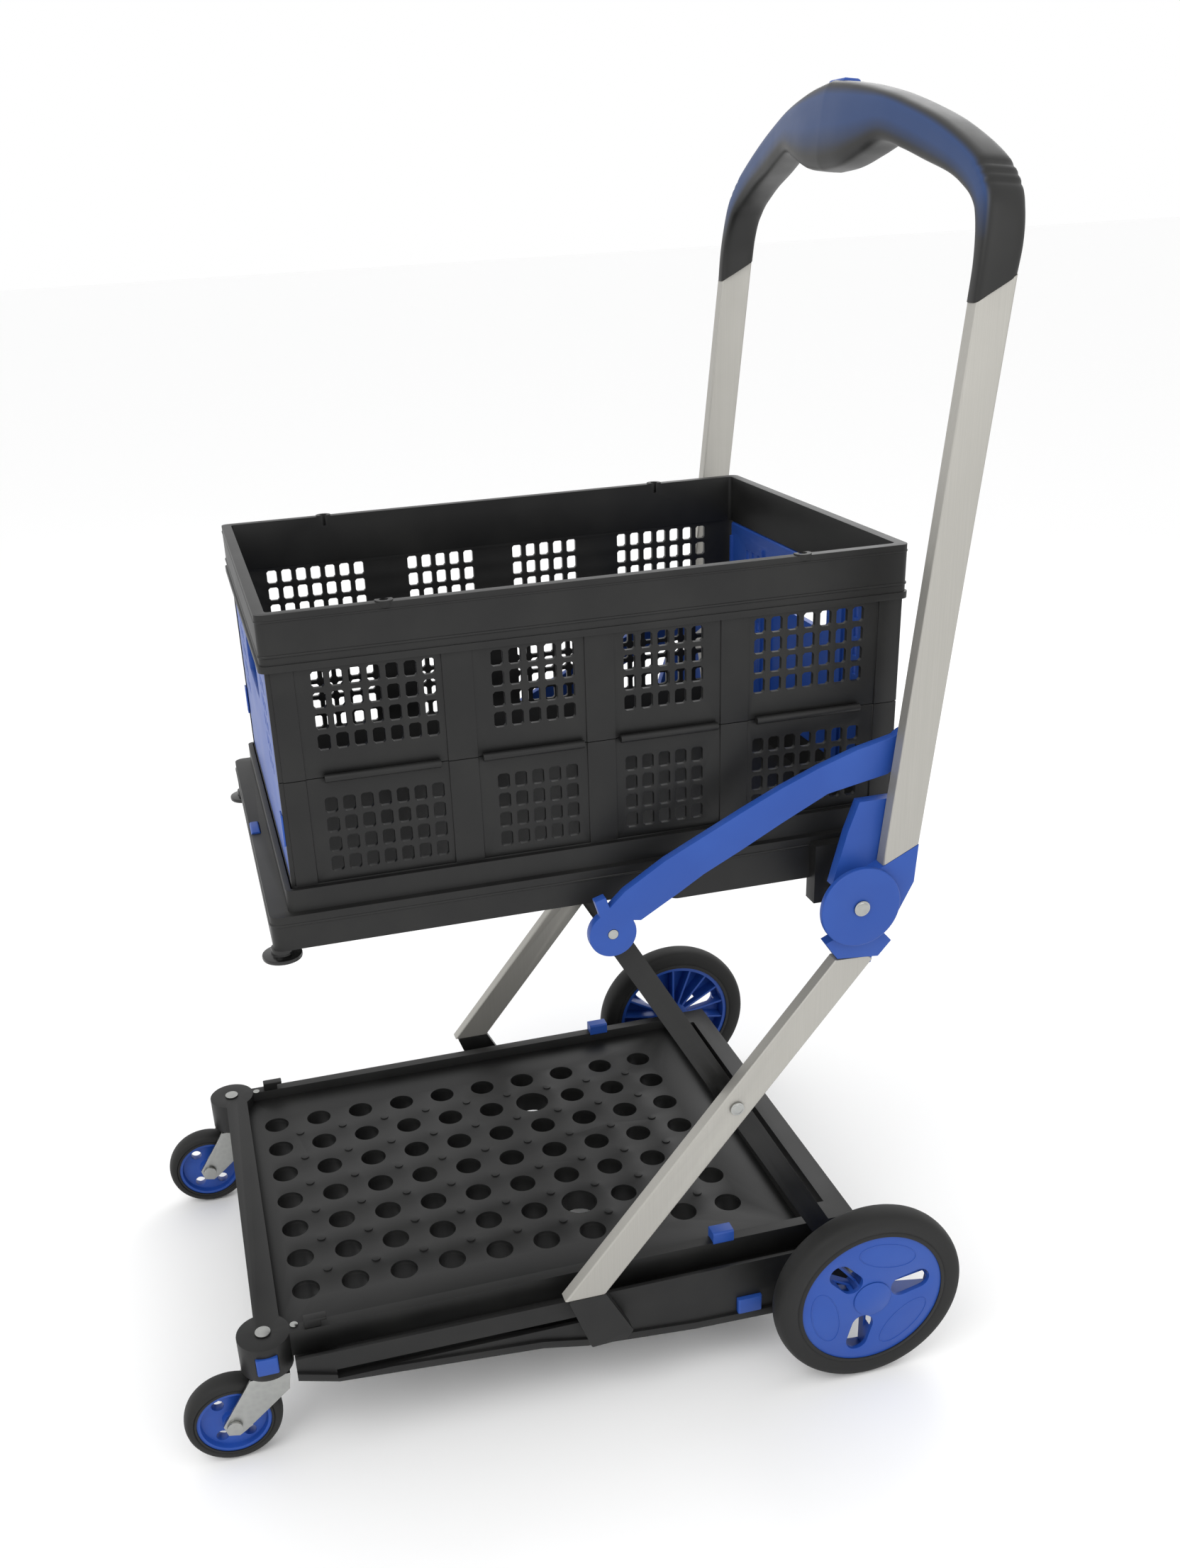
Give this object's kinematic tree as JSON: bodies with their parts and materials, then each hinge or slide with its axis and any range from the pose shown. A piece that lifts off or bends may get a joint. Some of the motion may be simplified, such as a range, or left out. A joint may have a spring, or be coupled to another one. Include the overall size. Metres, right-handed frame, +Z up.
{
  "type": "folding platform cart",
  "caption": "Folding platform cart with a scissor frame, a perforated lower deck, an upper tray with a lift-off collapsible crate, a folding push handle, wheels and casters.",
  "frame": {"origin": "on the floor, at the centre of the cart's footprint box", "axes": "+Z up, -Y towards the casters (front), +Y towards the handle and the large wheels, X across the cart"},
  "size_m": [0.521, 0.6676, 1.0204],
  "materials": {
    "black_plastic": "satin black polypropylene",
    "blue_plastic": "semi-gloss blue polypropylene",
    "aluminium": "matte silver anodised",
    "steel": "bright zinc-plated steel",
    "rubber": "black rubber",
    "soft_grip": "black soft-touch overmould"
  },
  "bodies": {
    "base": {"base_frame": "black_plastic", "side_channel_left": "black_plastic", "side_channel_right": "black_plastic", "deck_panel": "black_plastic", "rear_axle": "steel", "base_screws": "steel", "deck_hooks": "black_plastic", "deck_clips": "blue_plastic", "axle_caps": "blue_plastic"},
    "rear_wheel_left": {"rear_tyre_left": "rubber", "rear_hub_left": "blue_plastic"},
    "caster_left": {"caster_fork_left": "steel", "king_pin_left": "steel", "caster_bolt_left": "steel"},
    "caster_wheel_left": {"caster_tyre_left": "rubber", "caster_hub_left": "blue_plastic"},
    "corner_button_left": {"corner_button_left": "blue_plastic"},
    "side_tab_left": {"side_tab_left": "blue_plastic"},
    "rear_wheel_right": {"rear_tyre_right": "rubber", "rear_hub_right": "blue_plastic"},
    "caster_right": {"caster_fork_right": "steel", "king_pin_right": "steel", "caster_bolt_right": "steel"},
    "caster_wheel_right": {"caster_tyre_right": "rubber", "caster_hub_right": "blue_plastic"},
    "corner_button_right": {"corner_button_right": "blue_plastic"},
    "side_tab_right": {"side_tab_right": "blue_plastic"},
    "inner_legs": {"inner_leg_left": "black_plastic", "inner_leg_right": "black_plastic", "cross_pins": "steel", "knee_pins": "steel"},
    "outer_legs": {"outer_leg_left": "aluminium", "outer_leg_right": "aluminium", "leg_feet": "black_plastic", "hub_left": "blue_plastic", "hub_right": "blue_plastic", "hub_pins": "steel"},
    "brace_arms": {"brace_arm_left": "blue_plastic", "brace_arm_right": "blue_plastic"},
    "tray": {"tray": "black_plastic", "tray_clip": "blue_plastic", "tray_feet": "black_plastic"},
    "handle": {"handle_tube_left": "aluminium", "handle_tube_right": "aluminium", "handle_bracket_left": "blue_plastic", "handle_bracket_right": "blue_plastic", "grip": "soft_grip"},
    "grip_button": {"grip_button": "blue_plastic"},
    "release_lever_left": {"release_lever_left": "blue_plastic"},
    "release_lever_right": {"release_lever_right": "blue_plastic"},
    "crate": {"crate_rim": "black_plastic", "crate_floor": "black_plastic", "side_panel_upper_left": "black_plastic", "side_panel_upper_right": "black_plastic", "side_panel_lower_left": "black_plastic", "side_panel_lower_right": "black_plastic", "panel_hinges": "black_plastic", "crate_latches": "blue_plastic"},
    "front_panel": {"front_panel": "blue_plastic"},
    "rear_panel": {"rear_panel": "blue_plastic"}
  },
  "joints": [
    {"name": "rear_wheel_spin_left", "type": "hinge", "parent": "base", "child": "rear_wheel_left", "pos_m": [0.248, 0.252, 0.085], "axis": [1, 0, 0], "continuous": true},
    {"name": "caster_swivel_left", "type": "hinge", "parent": "base", "child": "caster_left", "pos_m": [0.1829, -0.2556, 0.085], "axis": [0, 0, 1], "continuous": true},
    {"name": "caster_spin_left", "type": "hinge", "parent": "caster_left", "child": "caster_wheel_left", "pos_m": [0.1829, -0.2896, 0.041], "axis": [1, 0, 0], "continuous": true},
    {"name": "corner_button_press_left", "type": "slide", "parent": "base", "child": "corner_button_left", "axis": [-1, 0, 0], "range_m": [0, 0.0008]},
    {"name": "side_tab_press_left", "type": "slide", "parent": "base", "child": "side_tab_left", "axis": [-1, 0, 0], "range_m": [0, 0.004]},
    {"name": "rear_wheel_spin_right", "type": "hinge", "parent": "base", "child": "rear_wheel_right", "pos_m": [-0.248, 0.252, 0.085], "axis": [1, 0, 0], "continuous": true},
    {"name": "caster_swivel_right", "type": "hinge", "parent": "base", "child": "caster_right", "pos_m": [-0.1829, -0.2556, 0.085], "axis": [0, 0, 1], "continuous": true},
    {"name": "caster_spin_right", "type": "hinge", "parent": "caster_right", "child": "caster_wheel_right", "pos_m": [-0.1829, -0.2896, 0.041], "axis": [1, 0, 0], "continuous": true},
    {"name": "corner_button_press_right", "type": "slide", "parent": "base", "child": "corner_button_right", "axis": [1, 0, 0], "range_m": [0, 0.0008]},
    {"name": "side_tab_press_right", "type": "slide", "parent": "base", "child": "side_tab_right", "axis": [1, 0, 0], "range_m": [0, 0.004]},
    {"name": "fold", "type": "hinge", "parent": "base", "child": "inner_legs", "pos_m": [0, 0.252, 0.085], "axis": [1, 0, 0], "range_deg": [0, 52]},
    {"name": "leg_cross", "type": "hinge", "parent": "inner_legs", "child": "outer_legs", "pos_m": [0, 0.13943, 0.282], "axis": [1, 0, 0], "range_deg": [-104, 0]},
    {"name": "brace_turn", "type": "hinge", "parent": "inner_legs", "child": "brace_arms", "pos_m": [0, 0.04402, 0.44897], "axis": [1, 0, 0], "range_deg": [-72.27, 0]},
    {"name": "tray_level", "type": "hinge", "parent": "outer_legs", "child": "tray", "pos_m": [0, 0.23483, 0.44897], "axis": [1, 0, 0], "range_deg": [0, 52]},
    {"name": "handle_fold", "type": "hinge", "parent": "outer_legs", "child": "handle", "pos_m": [0, 0.23483, 0.44897], "axis": [1, 0, 0], "range_deg": [0, 148]},
    {"name": "grip_button_press", "type": "slide", "parent": "handle", "child": "grip_button", "axis": [0, -0.1054, -0.9944], "range_m": [0, 0.004]},
    {"name": "release_lever_squeeze_left", "type": "hinge", "parent": "outer_legs", "child": "release_lever_left", "pos_m": [0.2107, 0.25683, 0.40997], "axis": [1, 0, 0], "range_deg": [-12, 0]},
    {"name": "release_lever_squeeze_right", "type": "hinge", "parent": "outer_legs", "child": "release_lever_right", "pos_m": [-0.2107, 0.25683, 0.40997], "axis": [1, 0, 0], "range_deg": [-12, 0]},
    {"name": "crate_lift", "type": "slide", "parent": "tray", "child": "crate", "axis": [0, 0, 1], "range_m": [0, 0.25]},
    {"name": "front_panel_swing", "type": "hinge", "parent": "crate", "child": "front_panel", "pos_m": [0, -0.1818, 0.6635], "axis": [1, 0, 0], "range_deg": [0, 85]},
    {"name": "rear_panel_swing", "type": "hinge", "parent": "crate", "child": "rear_panel", "pos_m": [0, 0.2867, 0.6635], "axis": [1, 0, 0], "range_deg": [-85, 0]}
  ],
  "couplings": [
    {"joint": "leg_cross", "follows": "fold", "ratio": -2},
    {"joint": "tray_level", "follows": "fold", "ratio": 1},
    {"joint": "handle_fold", "follows": "fold", "ratio": 2.8462},
    {"joint": "brace_turn", "follows": "fold", "ratio": -1.3898}
  ]
}
